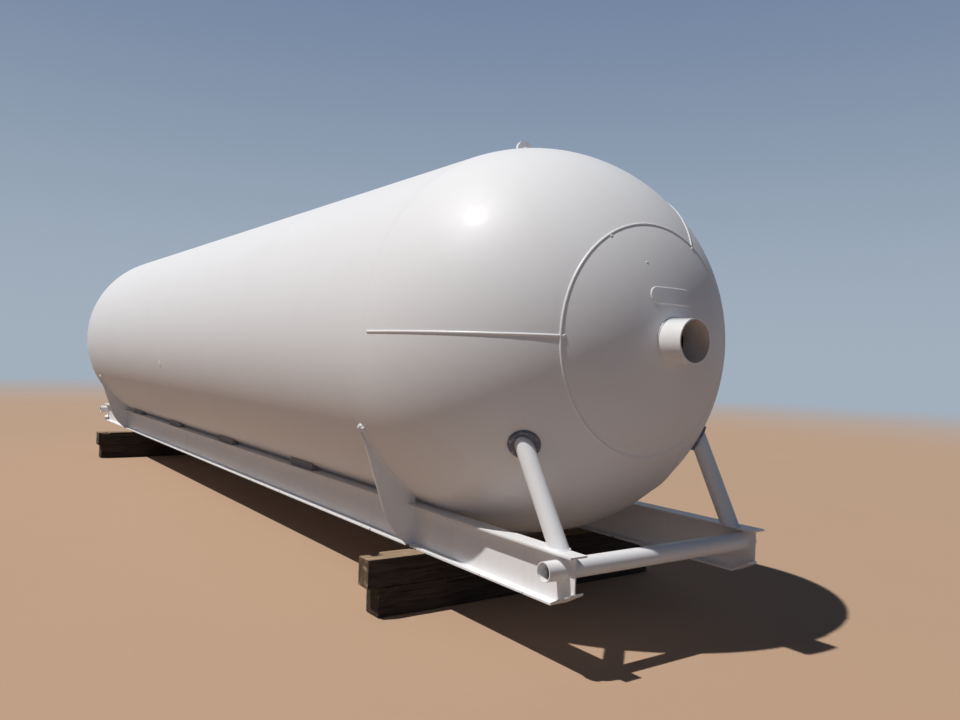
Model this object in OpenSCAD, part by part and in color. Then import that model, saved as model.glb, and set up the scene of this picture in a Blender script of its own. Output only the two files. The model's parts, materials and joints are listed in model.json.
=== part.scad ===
// Horizontal pressure tank on a two-rail skid, standing on timber cribbing.
// X runs along the tank, with the nozzle end at +X, the near end.
// Z is up, and the origin is on the ground at the centre of the whole object's box.

/* [Vessel] */
// Outside diameter of the shell and of both heads
shell_od = 2768; // [2400:1:3200]
// Length of the cylindrical shell between the two tangent lines
tangent_len = 9830; // [7000:10:12000]
// Wall of the shell plates
shell_wall = 16; // [8:1:30]
// Wall of the head plates
head_wall = 10; // [6:1:20]
// Number of rolled courses that make the shell
course_count = 4; // [2:1:6]
// Half angle of the crown plate of each head, seen from the head's centre
crown_half_angle = 31.5; // [20:0.5:40]

/* [End nozzle] */
// Outside diameter of the open nozzle in the near head
nozzle_od = 273; // [168:0.5:406]
// Wall of the nozzle pipe
nozzle_wall = 9.3; // [6:0.1:16]
// How far the nozzle stands out of the crown of the head
nozzle_out = 159; // [80:1:250]
// How far the nozzle reaches inside the head
nozzle_in = 34; // [20:1:80]

/* [Fittings on the vessel] */
// Width of the lifting lug, which is also twice the radius of its round top
lug_w = 140; // [100:2:200]
// Thickness of the lifting lug
lug_t = 25; // [16:1:40]
// Height of the lifting lug above the shell
lug_h = 128; // [100:1:200]
// Hole through the lifting lug
lug_hole_d = 52; // [30:1:70]
// Distance of the lifting lug behind the near tangent line
lug_back = 156; // [60:1:600]
// Width of the bare data plate on the near crown
plate_w = 350; // [200:5:420]
// Height of the bare data plate
plate_h = 96; // [60:2:140]
// Thickness of the bare data plate
plate_t = 6; // [3:1:12]
// Gap between the nozzle and the data plate's lower edge
plate_gap = 86.5; // [40:0.5:160]

/* [Skid rails] */
// Depth of the rolled beam that makes each rail
rail_depth = 293; // [250:1:360]
// Width of the rail's flanges
flange_w = 122; // [100:1:160]
// Thickness of the rail's flanges
flange_t = 11; // [8:0.5:18]
// Thickness of the rail's web
web_t = 8; // [6:0.5:14]
// Radius of the rolled fillet between web and flange
root_r = 9; // [5:0.5:14]
// Distance between the webs of the two rails
rail_gauge = 1564; // [1400:2:1700]
// Gap between the shell and the inner top edge of each rail
rail_gap = 10; // [4:1:40]
// How far the rails run past the crowns of the heads
rail_past_head = 56; // [0:1:200]
// Length of the upturned nose at each rail end
nose_run = 132; // [80:1:220]
// Rise of the upturned nose
nose_rise = 72; // [40:1:120]
// How far the top flange runs on past each end of the web
top_lip = 22; // [0:1:60]

/* [Pull pipes and struts] */
// Outside diameter of the pull pipes and of the struts
pipe_od = 114.3; // [88:0.1:130]
// Wall of the pull pipes and of the struts
pipe_wall = 6; // [4:0.5:10]
// Distance from the end of the rail's web back to the pull pipe's axis
pull_back = 103; // [58:1:110]
// Gap between the rail's top flange and the pull pipe below it
pull_drop = 27; // [1:1:30]
// Stub of the pull pipe outside the left rail's web
pull_left_out = 142; // [70:1:240]
// Stub of the pull pipe outside the right rail's web
pull_right_out = 76; // [10:1:240]
// Distance from the end of the rail's web back to the strut's foot
strut_foot_back = 180; // [140:1:300]
// How far in from the rail's web the strut's foot stands
strut_foot_in = 31; // [0:1:40]
// How far back from its foot the strut's head lies
strut_run_back = 313; // [200:1:360]
// How far in from the rail's web the strut's head lies
strut_lean_in = 5; // [0:1:60]
// Diameter of the round pad between the strut and the head
strut_pad_d = 186; // [150:2:240]
// Thickness of that pad
strut_pad_t = 12; // [8:1:20]

/* [Saddles and pads] */
// Distance of each saddle behind its tangent line
saddle_back = 266; // [150:1:600]
// Thickness of the saddle plates
saddle_t = 16; // [10:1:25]
// Angle of the horn's tip, measured from the bottom of the shell
horn_angle = 62.5; // [58:0.5:64]
// Width of the narrow strip that the horn ends in, measured out from the shell
horn_tip_w = 28; // [22:1:40]
// Length of that strip
horn_strip = 100; // [40:5:140]
// Radius of its round end
horn_tip_r = 20; // [12:1:22]
// Radius of the horn's round belly
horn_belly_r = 600; // [450:5:800]
// How far the belly's circle reaches out beyond the rail's flanges
horn_out = 235; // [190:1:260]
// Length of the filler pads between the rails and the shell
pad_len = 480; // [200:10:600]
// Thickness of the filler pads, which stand over the rails' webs, measured across the tank
pad_t = 55; // [30:1:70]
// Spacing of the filler pads along each rail
pad_pitch = 2165; // [1500:5:2300]
// Number of filler pads on each rail
pad_count = 4; // [2:1:4]
// How far the row of filler pads is moved from the middle of the shell towards the far end
pad_shift = 585; // [0:5:800]

/* [Timber cribbing] */
// Width of a timber
timber_w = 190; // [150:1:250]
// Height of a timber
timber_h = 200; // [150:1:250]
// Length of a timber
timber_len = 2540; // [1900:10:2700]
// Distance of the near stack behind the near tangent line
near_stack_back = 111; // [100:1:900]
// Distance of the far stack inside the far tangent line
far_stack_in = 885; // [100:1:1500]
// How far each timber is laid off the middle, towards the right side of the tank
near_upper_shift = 0; // [-150:1:150]
// The same for the near stack's lower timber
near_lower_shift = 87; // [-150:1:150]
// The same for the far stack's upper timber
far_upper_shift = -82; // [-150:1:150]
// The same for the far stack's lower timber
far_lower_shift = -39; // [-150:1:150]

/* [Hidden] */

// Facets of large round shapes and of small ones
fine = 256;
small = 64;
// Seat between pieces that meet on a curve
seat = 0.3;
// Extra length of cutting shapes
over = 20;
// Number of gore plates in a head, and the angle of the first seam from the bottom
gore_count = 3;
first_seam = 30;
// Paint and timber colours
paint = [0.93, 0.93, 0.94];
timber_brown = [0.30, 0.22, 0.15];

shell_r = shell_od / 2;
rail_top_z = 2 * timber_h + rail_depth;
// Half the distance between the rails' webs, and the rails' drop below the tank axis
web_y = rail_gauge / 2;
rail_drop = sqrt(pow(shell_r + rail_gap, 2) - pow(web_y - flange_w / 2, 2));
axis_z = rail_top_z + rail_drop;
rail_past = shell_r + rail_past_head;
// Furthest reach past each tangent line
far_reach = rail_past + top_lip;
near_reach = max(far_reach, shell_r + nozzle_out);
near_x = (tangent_len + far_reach - near_reach) / 2;
far_x = near_x - tangent_len;
course_len = tangent_len / course_count;
rail_len = tangent_len + 2 * rail_past;
pull_z = rail_top_z - flange_t - pull_drop - pipe_od / 2;
crown_edge = 90 - crown_half_angle;
// Radius of the outer corner of the nose, which is the whole half of the flange outside the web
nose_corner_r = (flange_w - web_t) / 2;

// One rolled course of the shell, counted from the near end
module shell_course(number) {
    color(paint)
    translate([near_x - number * course_len, 0, axis_z])
    rotate([0, 90, 0])
    difference() {
        cylinder(r = shell_r, h = course_len, $fn = fine);
        translate([0, 0, -over])
            cylinder(r = shell_r - shell_wall, h = course_len + 2 * over, $fn = fine);
    }
}

// Sector of the head's wall between two angles above the tangent line
module head_wall_profile(low, high) {
    reach = 2 * shell_r;
    intersection() {
        difference() {
            circle(r = shell_r, $fn = fine);
            circle(r = shell_r - head_wall, $fn = fine);
        }
        polygon([[0, 0], [reach * cos(low), reach * sin(low)], [reach * cos(high), reach * sin(high)]]);
    }
}

// Puts a head's shape, made about Z with its crown up, on one end of the shell
module on_head(end) {
    translate([end > 0 ? near_x : far_x, 0, axis_z])
    rotate([0, end > 0 ? 90 : -90, 0])
        mirror([end > 0 ? 0 : 1, 0, 0])
            children();
}

// One gore of a head, between two of its three meridian seams
module gore(end, number) {
    color(paint)
    on_head(end)
    rotate([0, 0, first_seam + number * 360 / gore_count])
    rotate_extrude(angle = 360 / gore_count, $fn = fine)
        head_wall_profile(0, crown_edge);
}

// The round crown plate of a head; the near one is cut for the nozzle
module crown(end) {
    color(paint)
    on_head(end)
    difference() {
        rotate_extrude($fn = fine)
            intersection() {
                head_wall_profile(crown_edge, 90);
                square(2 * shell_r);
            }
        if (end > 0)
            cylinder(r = nozzle_od / 2 + seat, h = shell_r + over, $fn = small);
    }
}

// Open nozzle pipe through the near crown
module end_nozzle() {
    inner_end = shell_r - head_wall - nozzle_in;
    pipe_len = shell_r + nozzle_out - inner_end;
    color(paint)
    on_head(1)
    translate([0, 0, inner_end])
    difference() {
        cylinder(d = nozzle_od, h = pipe_len, $fn = small);
        translate([0, 0, -over])
            cylinder(d = nozzle_od - 2 * nozzle_wall, h = pipe_len + 2 * over, $fn = small);
    }
}

// Round-topped lifting lug across the top of the shell
module lifting_lug() {
    crest = axis_z + shell_r + lug_h;
    color(paint)
    difference() {
        translate([near_x - lug_back - lug_t / 2, 0, crest - lug_w / 2])
        rotate([90, 0, 90])
        linear_extrude(height = lug_t)
        difference() {
            union() {
                circle(d = lug_w, $fn = small);
                translate([-lug_w / 2, -lug_h])
                    square([lug_w, lug_h]);
            }
            circle(d = lug_hole_d, $fn = small);
        }
        translate([near_x - lug_back - lug_t, 0, axis_z])
        rotate([0, 90, 0])
            cylinder(r = shell_r + seat, h = 2 * lug_t, $fn = fine);
    }
}

// Outline of the bare data plate: a bar with half-round ends
module data_plate_outline() {
    straight = plate_w - plate_h;
    translate([-straight / 2, -plate_h / 2])
        square([straight, plate_h]);
    for (side = [-1, 1])
        translate([side * straight / 2, 0])
            circle(d = plate_h, $fn = small);
}

// Bare data plate that follows the crown above the nozzle
module data_plate() {
    plate_up = nozzle_od / 2 + plate_gap + plate_h / 2;
    tilt = asin(plate_up / shell_r);
    color(paint)
    translate([near_x, 0, axis_z])
    rotate([0, -tilt, 0])
    difference() {
        intersection() {
            rotate([90, 0, 90])
                linear_extrude(height = 2 * shell_r)
                    data_plate_outline();
            sphere(r = shell_r + plate_t, $fn = fine);
        }
        sphere(r = shell_r + seat, $fn = fine);
    }
}

// The open side of the beam: a channel with rolled fillets at its root
module channel_space() {
    inner_h = rail_depth - 2 * flange_t;
    depth = flange_w / 2 + over;
    translate([root_r, 0])
        square([depth - root_r, inner_h]);
    translate([0, root_r])
        square([depth, inner_h - 2 * root_r]);
    for (high = [root_r, inner_h - root_r])
        translate([root_r, high])
            circle(r = root_r, $fn = small);
}

// Cross-section of the rolled beam, standing on its lower flange
module beam_section() {
    difference() {
        translate([-flange_w / 2, 0])
            square([flange_w, rail_depth]);
        for (side = [0, 1])
            mirror([side, 0])
                translate([web_t / 2, flange_t])
                    channel_space();
    }
}

// Side outline of what is cut away below an upturned nose, from the nose's start
module nose_cut() {
    polygon([[0, 0], [nose_run + over, nose_rise * (nose_run + over) / nose_run],
             [nose_run + over, -over], [0, -over]]);
}

// Side outline of the bent lower flange along the nose
module nose_flange() {
    slope = atan2(nose_rise, nose_run);
    lift = flange_t / cos(slope);
    polygon([[0, 0], [nose_run, nose_rise], [nose_run, nose_rise + lift],
             [0, lift], [-flange_t * tan(slope / 2), flange_t], [-flange_t * tan(slope / 2), 0]]);
}

// Plan of what is cut off the outer corner of the nose, from the nose's start
module nose_corner() {
    translate([nose_run - nose_corner_r, flange_w / 2 - nose_corner_r])
    difference() {
        square(nose_corner_r + over);
        circle(r = nose_corner_r, $fn = small);
    }
}

// One rail: a rolled beam with both ends turned up and a longer top flange, pierced for the pull pipes
module rail(side) {
    color(paint)
    translate([(near_x + far_x) / 2, side * web_y, 2 * timber_h])
    mirror([0, side > 0 ? 0 : 1, 0]) {
        difference() {
            translate([-rail_len / 2, 0, 0])
            rotate([90, 0, 90])
                linear_extrude(height = rail_len)
                    beam_section();
            for (end = [0, 1])
                mirror([end, 0, 0])
                translate([rail_len / 2 - nose_run, flange_w, 0])
                rotate([90, 0, 0])
                    linear_extrude(height = 2 * flange_w)
                        nose_cut();
            for (end = [-1, 1])
                translate([end * (rail_len / 2 - pull_back), 0, pull_z - 2 * timber_h])
                rotate([90, 0, 0])
                    cylinder(d = pipe_od + 2 * seat, h = flange_w, center = true, $fn = small);
        }
        translate([-rail_len / 2 - top_lip, -flange_w / 2, rail_depth - flange_t])
            cube([rail_len + 2 * top_lip, flange_w, flange_t]);
        for (end = [0, 1])
            mirror([end, 0, 0])
            translate([rail_len / 2 - nose_run, 0, 0])
            difference() {
                translate([0, flange_w / 2, 0])
                rotate([90, 0, 0])
                    linear_extrude(height = flange_w)
                        nose_flange();
                translate([0, 0, -over])
                    linear_extrude(height = over + nose_rise + 2 * flange_t)
                        nose_corner();
            }
    }
}

// Open pull pipe across both rails at one end of the skid
module pull_pipe(end) {
    pipe_x = end > 0 ? near_x + rail_past - pull_back : far_x - rail_past + pull_back;
    pipe_len = rail_gauge + pull_left_out + pull_right_out;
    color(paint)
    translate([pipe_x, -web_y - pull_left_out, pull_z])
    rotate([-90, 0, 0])
    difference() {
        cylinder(d = pipe_od, h = pipe_len, $fn = small);
        translate([0, 0, -over])
            cylinder(d = pipe_od - 2 * pipe_wall, h = pipe_len + 2 * over, $fn = small);
    }
}

// Point on the near left head where a strut's axis meets it, and its direction from the head's centre
strut_foot = [rail_past - strut_foot_back, strut_foot_in - web_y, -rail_drop];
strut_head_out = strut_foot[0] - strut_run_back;
strut_head_side = web_y - strut_lean_in;
strut_head_drop = sqrt(pow(shell_r, 2) - pow(strut_head_out, 2) - pow(strut_head_side, 2));
strut_head = [strut_head_out, -strut_head_side, -strut_head_drop];
// Turn of the strut pipe about its own axis, which keeps its seam off the ends' sharp corners
pipe_seam_turn = 40;

// Places a shape made for the near left corner of the skid at any corner
module at_corner(end, side) {
    translate([end > 0 ? near_x : far_x, 0, axis_z])
    mirror([end > 0 ? 0 : 1, 0, 0])
    mirror([0, side > 0 ? 1 : 0, 0])
        children();
}

// Turns a shape made along Z into a direction given as a vector
module along(direction) {
    rotate([0, acos(direction[2] / norm(direction)), atan2(direction[1], direction[0])])
        children();
}

// Pipe strut from the rail's top flange up to the pad on the head
module strut(end, side) {
    run_len = norm(strut_head - strut_foot);
    color(paint)
    at_corner(end, side)
    difference() {
        translate(strut_foot)
        along(strut_head - strut_foot)
        rotate([0, 0, pipe_seam_turn])
        translate([0, 0, -pipe_od])
        difference() {
            cylinder(d = pipe_od, h = run_len + 2 * pipe_od, $fn = small);
            translate([0, 0, -over])
                cylinder(d = pipe_od - 2 * pipe_wall, h = run_len + 2 * pipe_od + 2 * over, $fn = small);
        }
        along(strut_head)
        translate([-shell_r, -shell_r, 0])
            cube([2 * shell_r, 2 * shell_r, shell_r + strut_pad_t]);
        translate([0, -2 * web_y, -rail_drop - 4 * pipe_od])
            cube([4 * rail_past, 4 * web_y, 4 * pipe_od]);
    }
}

// The two round pads of one head, each under a strut's upper end
module strut_pads(end) {
    color(paint)
    for (side = [-1, 1])
        at_corner(end, side)
        difference() {
            along(strut_head)
                cylinder(d = strut_pad_d, h = shell_r + strut_pad_t, $fn = small);
            sphere(r = shell_r + seat, $fn = fine);
        }
}

// Places a saddle plate's outline, drawn in Y and Z about the tank axis
module in_saddle_plane(end) {
    plate_x = end > 0 ? near_x - saddle_back : far_x + saddle_back;
    translate([plate_x - saddle_t / 2, 0, axis_z])
    rotate([90, 0, 90])
    linear_extrude(height = saddle_t)
        children();
}

// Plate between the rails, below the shell
module saddle_web(end) {
    half_w = web_y - web_t / 2 - seat;
    bottom = -rail_drop - rail_depth + flange_t + seat;
    top = -rail_drop - flange_t - seat;
    color(paint)
    in_saddle_plane(end)
    difference() {
        translate([-half_w, bottom])
            square([2 * half_w, top - bottom]);
        circle(r = shell_r + seat, $fn = fine);
        for (side = [-1, 1], level = [bottom, top])
            translate([side * half_w, level])
                circle(r = root_r + seat, $fn = small);
    }
}

// Direction from the tank axis at an angle from the bottom of the shell
function out_way(angle) = [sin(angle), -cos(angle)];

// Outline of a horn plate: a round belly outside the rail, a straight edge up to a narrow strip that follows
// the shell, and the strip's round end
module horn_outline() {
    strip_r = shell_r + horn_tip_w;
    neck_angle = horn_angle - horn_strip / strip_r * 180 / PI;
    neck = strip_r * out_way(neck_angle);
    inner_y = web_y + web_t / 2 + seat;
    foot = [web_y + flange_w / 2, -rail_drop - rail_depth + flange_t + seat];
    belly_in = horn_belly_r - horn_out;
    belly = foot + [-belly_in, sqrt(pow(horn_belly_r, 2) - pow(belly_in, 2))];
    across = neck - belly;
    lean = atan2(across[1], across[0]) - acos(horn_belly_r / norm(across));
    belly_end = belly + horn_belly_r * [cos(lean), sin(lean)];
    translate((strip_r - horn_tip_r) * out_way(horn_angle))
        circle(r = horn_tip_r, $fn = small);
    intersection() {
        circle(r = strip_r, $fn = fine);
        polygon([[0, 0], 2 * shell_r * out_way(neck_angle), 2 * shell_r * out_way(horn_angle)]);
    }
    intersection() {
        translate(belly)
            circle(r = horn_belly_r, $fn = fine);
        translate([inner_y, foot[1]])
            square([2 * horn_belly_r, belly_end[1] - foot[1]]);
    }
    polygon([
        [inner_y, foot[1]],
        foot,
        belly_end,
        neck,
        (shell_r - over) * out_way(neck_angle),
        [inner_y, over - sqrt(pow(shell_r, 2) - pow(inner_y, 2))]
    ]);
}

// Horn plate outside one rail at one saddle
module horn(end, side) {
    inner_y = web_y + web_t / 2 + seat;
    color(paint)
    in_saddle_plane(end)
    mirror([side > 0 ? 0 : 1, 0])
    difference() {
        horn_outline();
        circle(r = shell_r + seat, $fn = fine);
        translate([web_y - flange_w / 2 - seat, -rail_drop - flange_t - seat])
            square([flange_w + 2 * seat, flange_t + 2 * seat]);
        for (level = [-rail_drop - rail_depth + flange_t, -rail_drop - flange_t])
            translate([inner_y, level])
                circle(r = root_r + seat, $fn = small);
    }
}

// Filler pads that close the gap between one rail and the shell
module filler_pads(side) {
    first_x = far_x + tangent_len / 2 - pad_shift - pad_pitch * (pad_count - 1) / 2;
    color(paint)
    for (number = [0 : pad_count - 1])
        translate([first_x + number * pad_pitch - pad_len / 2, 0, axis_z])
        rotate([90, 0, 90])
        linear_extrude(height = pad_len)
        mirror([side > 0 ? 0 : 1, 0])
        difference() {
            translate([web_y - pad_t / 2, -rail_drop])
                square([pad_t, 2 * flange_w]);
            circle(r = shell_r + seat, $fn = fine);
            translate([0, -rail_drop + 2 * flange_w - over])
                square([2 * web_y, 4 * over]);
        }
}

// One timber of the cribbing, laid across the skid
module timber(end, level, shift) {
    middle_x = end > 0 ? near_x - near_stack_back : far_x + far_stack_in;
    color(timber_brown)
    translate([middle_x - timber_w / 2, shift - timber_len / 2, level * timber_h])
        cube([timber_w, timber_len, timber_h]);
}

shell_course(1);  // shell_course_1
shell_course(2);  // shell_course_2
shell_course(3);  // shell_course_3
shell_course(4);  // shell_course_4
gore(1, 1);  // near_gore_top
gore(1, 0);  // near_gore_side
gore(1, 2);  // near_gore_bottom
crown(1);  // near_crown
gore(-1, 1);  // far_gore_top
gore(-1, 0);  // far_gore_side
gore(-1, 2);  // far_gore_bottom
crown(-1);  // far_crown
end_nozzle();
lifting_lug();
data_plate();
rail(-1);  // left_rail
rail(1);  // right_rail
pull_pipe(1);  // near_pull_pipe
pull_pipe(-1);  // far_pull_pipe
strut(1, -1);  // near_left_strut
strut(1, 1);  // near_right_strut
strut(-1, -1);  // far_left_strut
strut(-1, 1);  // far_right_strut
strut_pads(1);  // near_strut_pads
strut_pads(-1);  // far_strut_pads
saddle_web(1);  // near_saddle_web
saddle_web(-1);  // far_saddle_web
horn(1, -1);  // near_left_horn
horn(1, 1);  // near_right_horn
horn(-1, -1);  // far_left_horn
horn(-1, 1);  // far_right_horn
filler_pads(-1);  // left_filler_pads
filler_pads(1);  // right_filler_pads
timber(1, 1, near_upper_shift);  // near_timber_upper
timber(1, 0, near_lower_shift);  // near_timber_lower
timber(-1, 1, far_upper_shift);  // far_timber_upper
timber(-1, 0, far_lower_shift);  // far_timber_lower
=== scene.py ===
# Horizontal pressure tank on a two-rail skid: its paint, welds and timbers, in a plain studio.
import json
import random
from math import asin, ceil, cos, hypot, pi, radians, sin, sqrt, tau

import bpy
from mathutils import Matrix, Vector


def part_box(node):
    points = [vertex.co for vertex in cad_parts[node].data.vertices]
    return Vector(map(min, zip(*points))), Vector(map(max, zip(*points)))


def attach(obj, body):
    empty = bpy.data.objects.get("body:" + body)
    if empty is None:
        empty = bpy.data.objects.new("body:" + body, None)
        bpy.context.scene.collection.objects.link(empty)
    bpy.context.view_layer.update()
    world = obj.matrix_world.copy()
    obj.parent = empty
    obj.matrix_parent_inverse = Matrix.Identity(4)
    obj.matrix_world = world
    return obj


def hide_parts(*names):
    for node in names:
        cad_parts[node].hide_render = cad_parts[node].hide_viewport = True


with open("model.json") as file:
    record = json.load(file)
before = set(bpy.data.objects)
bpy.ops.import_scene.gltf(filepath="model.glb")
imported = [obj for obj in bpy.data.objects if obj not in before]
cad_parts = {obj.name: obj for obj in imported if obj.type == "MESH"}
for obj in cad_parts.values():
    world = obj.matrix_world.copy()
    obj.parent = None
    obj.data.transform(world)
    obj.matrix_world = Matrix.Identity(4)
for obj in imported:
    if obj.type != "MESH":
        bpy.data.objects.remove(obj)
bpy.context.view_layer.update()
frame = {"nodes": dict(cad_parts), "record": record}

X = Vector((1, 0, 0))
Y = Vector((0, 1, 0))
Z = Vector((0, 0, 1))


def box(node):
    """Lowest and highest corner of a node, as vectors."""
    low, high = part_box(node)
    return Vector(low), Vector(high)


# Vessel, measured on its nodes
near_shell = box("shell_course_1")
far_shell = box("shell_course_4")
NEAR_X = near_shell[1].x
FAR_X = far_shell[0].x
MIDDLE_X = (NEAR_X + FAR_X) / 2
SHELL_R = (near_shell[1].y - near_shell[0].y) / 2
AXIS_Z = (near_shell[1].z + near_shell[0].z) / 2
COURSES = 4
COURSE_LEN = (NEAR_X - FAR_X) / COURSES
CROWN_R = (box("near_crown")[1].y - box("near_crown")[0].y) / 2
NOZZLE_R = (box("end_nozzle")[1].y - box("end_nozzle")[0].y) / 2
NEAR_CENTRE = Vector((NEAR_X, 0, AXIS_Z))
FAR_CENTRE = Vector((FAR_X, 0, AXIS_Z))
lug_low, lug_high = box("lifting_lug")
plate_low, plate_high = box("data_plate")
PLATE_UP = (plate_low.z + plate_high.z) / 2 - AXIS_Z
PLATE_H = 0.096

# Skid, measured on its nodes, with the sizes that a box doesn't give
rail_low, rail_high = box("left_rail")
WEB_Y = -(rail_low.y + rail_high.y) / 2
FLANGE_W = rail_high.y - rail_low.y
RAIL_LOW_Z = rail_low.z
RAIL_TOP_Z = rail_high.z
TOP_LIP = 0.022
WEB_END_X = rail_high.x - TOP_LIP
FLANGE_T = 0.011
WEB_T = 0.008
ROOT_R = 0.009
NOSE_RUN = 0.132
NOSE_RISE = 0.072

pull_low, pull_high = box("near_pull_pipe")
PIPE_R = (pull_high.z - pull_low.z) / 2
PIPE_WALL = 0.006
PULL_X = (pull_low.x + pull_high.x) / 2
PULL_Z = (pull_low.z + pull_high.z) / 2

# Near left strut, from its foot on the rail to its head on the vessel, and the pad there
FOOT_FROM_END = 0.180
FOOT_FROM_WEB = 0.031
HEAD_FROM_FOOT = 0.313
HEAD_FROM_WEB = 0.005
STRUT_FOOT = Vector((WEB_END_X - FOOT_FROM_END, FOOT_FROM_WEB - WEB_Y, RAIL_TOP_Z))
STRUT_HEAD = Vector((STRUT_FOOT.x - HEAD_FROM_FOOT, HEAD_FROM_WEB - WEB_Y, 0))
STRUT_HEAD.z = AXIS_Z - sqrt(SHELL_R ** 2 - (STRUT_HEAD.x - NEAR_X) ** 2 - STRUT_HEAD.y ** 2)
STRUT_WAY = (STRUT_HEAD - STRUT_FOOT).normalized()
PAD_WAY = (STRUT_HEAD - NEAR_CENTRE).normalized()
PAD_R = 0.093
PAD_T = 0.012

# Saddles and filler pads
saddle_low, saddle_high = box("near_saddle_web")
horn_low, horn_high = box("near_left_horn")
HORN_ANGLE = radians(62.5)
HORN_START = asin((WEB_Y + WEB_T / 2) / SHELL_R)
filler_low, filler_high = box("left_filler_pads")
FILLER_LEN = 0.480
FILLER_COUNT = 4
FILLER_PITCH = (filler_high.x - filler_low.x - FILLER_LEN) / (FILLER_COUNT - 1)

# Weld beads: their radii, the pitch and depth of their ripples, and how far a fillet lies outside its pipe
FILLET_R = 0.0065
HORN_BEAD_R = 0.008
TIP_BEAD_R = 0.018
TIP_WRAP_R = 0.026
RIPPLE = 0.008
RIPPLE_DEPTH = 0.0005
BEAD_SIDES = 10
FILLET_GAP = 0.001

# Seams of the heads: the bead's radius and how deep its middle lies, the angles of the three meridian seams
# from straight down, how far they run past the crown weld and stop short of the shell, the lumps at their
# two ends as multiples of the bead's radius, and the size and depth of the unevenness along the beads
SEAM_R = 0.0110
SEAM_SINK = 0.0045
SEAM_ANGLES = [radians(30), radians(150), radians(270)]
SEAM_OVERSHOOT = 0.018
SEAM_START = 0.068
SEAM_NUB = 1.3
SEAM_TAIL = 1.1
SEAM_UNEVEN = (0.02, 0.0016)


# Helpers for modelling


def deselect():
    if bpy.context.object and bpy.context.object.mode != "OBJECT":
        bpy.ops.object.mode_set(mode="OBJECT")
    bpy.ops.object.select_all(action="DESELECT")


def only(piece):
    """Makes a piece the only selected one."""
    deselect()
    piece.select_set(True)
    bpy.context.view_layer.objects.active = piece


def placed(name=None):
    """The primitive just added, with its place put into its mesh."""
    piece = bpy.context.object
    if name:
        piece.name = name
        piece.data.name = name
    bpy.ops.object.transform_apply(location=True, rotation=True, scale=True)
    return piece


def edit(piece):
    only(piece)
    bpy.ops.object.mode_set(mode="EDIT")
    bpy.ops.mesh.select_mode(type="VERT")


def pick(piece, kind, test):
    """Leaves only the vertices or edges that pass the test selected, in edit mode."""
    only(piece)
    bpy.ops.object.mode_set(mode="EDIT")
    bpy.ops.mesh.select_mode(type="VERT" if kind == "vertices" else "EDGE")
    bpy.ops.mesh.select_all(action="DESELECT")
    bpy.ops.object.mode_set(mode="OBJECT")
    for number, part in enumerate(getattr(piece.data, kind)):
        part.select = bool(test(number, part))
    bpy.ops.object.mode_set(mode="EDIT")


def join(parts, name):
    deselect()
    for part in parts:
        part.select_set(True)
    bpy.context.view_layer.objects.active = parts[0]
    if len(parts) > 1:
        bpy.ops.object.join()
    parts[0].name = name
    parts[0].data.name = name
    return parts[0]


def uneven(piece, name, size, depth):
    """Displaces a piece by clouds of a size, and applies it at once."""
    only(piece)
    texture = bpy.data.textures.new(name, "CLOUDS")
    texture.noise_scale = size
    texture.noise_depth = 2
    modifier = piece.modifiers.new("displace", "DISPLACE")
    modifier.texture = texture
    modifier.texture_coords = "LOCAL"
    modifier.strength = depth
    bpy.ops.object.modifier_apply(modifier=modifier.name)


def finish(piece, material, angle=40):
    """Gives a new piece its material and its body."""
    only(piece)
    piece.data.materials.clear()
    piece.data.materials.append(material)
    bpy.ops.object.shade_smooth_by_angle(angle=radians(angle))
    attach(piece, "root")
    return piece


def duplicate(piece):
    """Copy of a piece with its own mesh, left in edit mode with the whole mesh selected."""
    only(piece)
    bpy.ops.object.duplicate()
    bpy.ops.object.mode_set(mode="EDIT")
    bpy.ops.mesh.select_all(action="SELECT")
    return bpy.context.object


def copied(piece, shift):
    """Copy of a piece, moved in its mesh."""
    copy = duplicate(piece)
    bpy.ops.transform.translate(value=shift)
    bpy.ops.object.mode_set(mode="OBJECT")
    return copy


def mirrored(piece, name, along=1, across=1):
    """Copy of a piece at another corner: -1 mirrors it along the tank, or across it."""
    copy = duplicate(piece)
    bpy.ops.transform.resize(value=(along, across, 1), center_override=(MIDDLE_X, 0, 0))
    bpy.ops.mesh.normals_make_consistent(inside=False)
    bpy.ops.object.mode_set(mode="OBJECT")
    copy.name = name
    copy.data.name = name
    return copy


def turn_to(direction, side=None):
    """Rotation that brings Z to a direction and, where side is given, X towards it."""
    up = direction.normalized()
    across = (side - up * side.dot(up)).normalized() if side else up.orthogonal().normalized()
    return Matrix((across, up.cross(across), up)).transposed().to_euler()


# Weld beads


def ripple(piece, odd):
    """Draws every second ring of a bead in a little."""
    pick(piece, "vertices", odd)
    bpy.ops.transform.shrink_fatten(value=-RIPPLE_DEPTH)
    bpy.ops.object.mode_set(mode="OBJECT")


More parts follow.
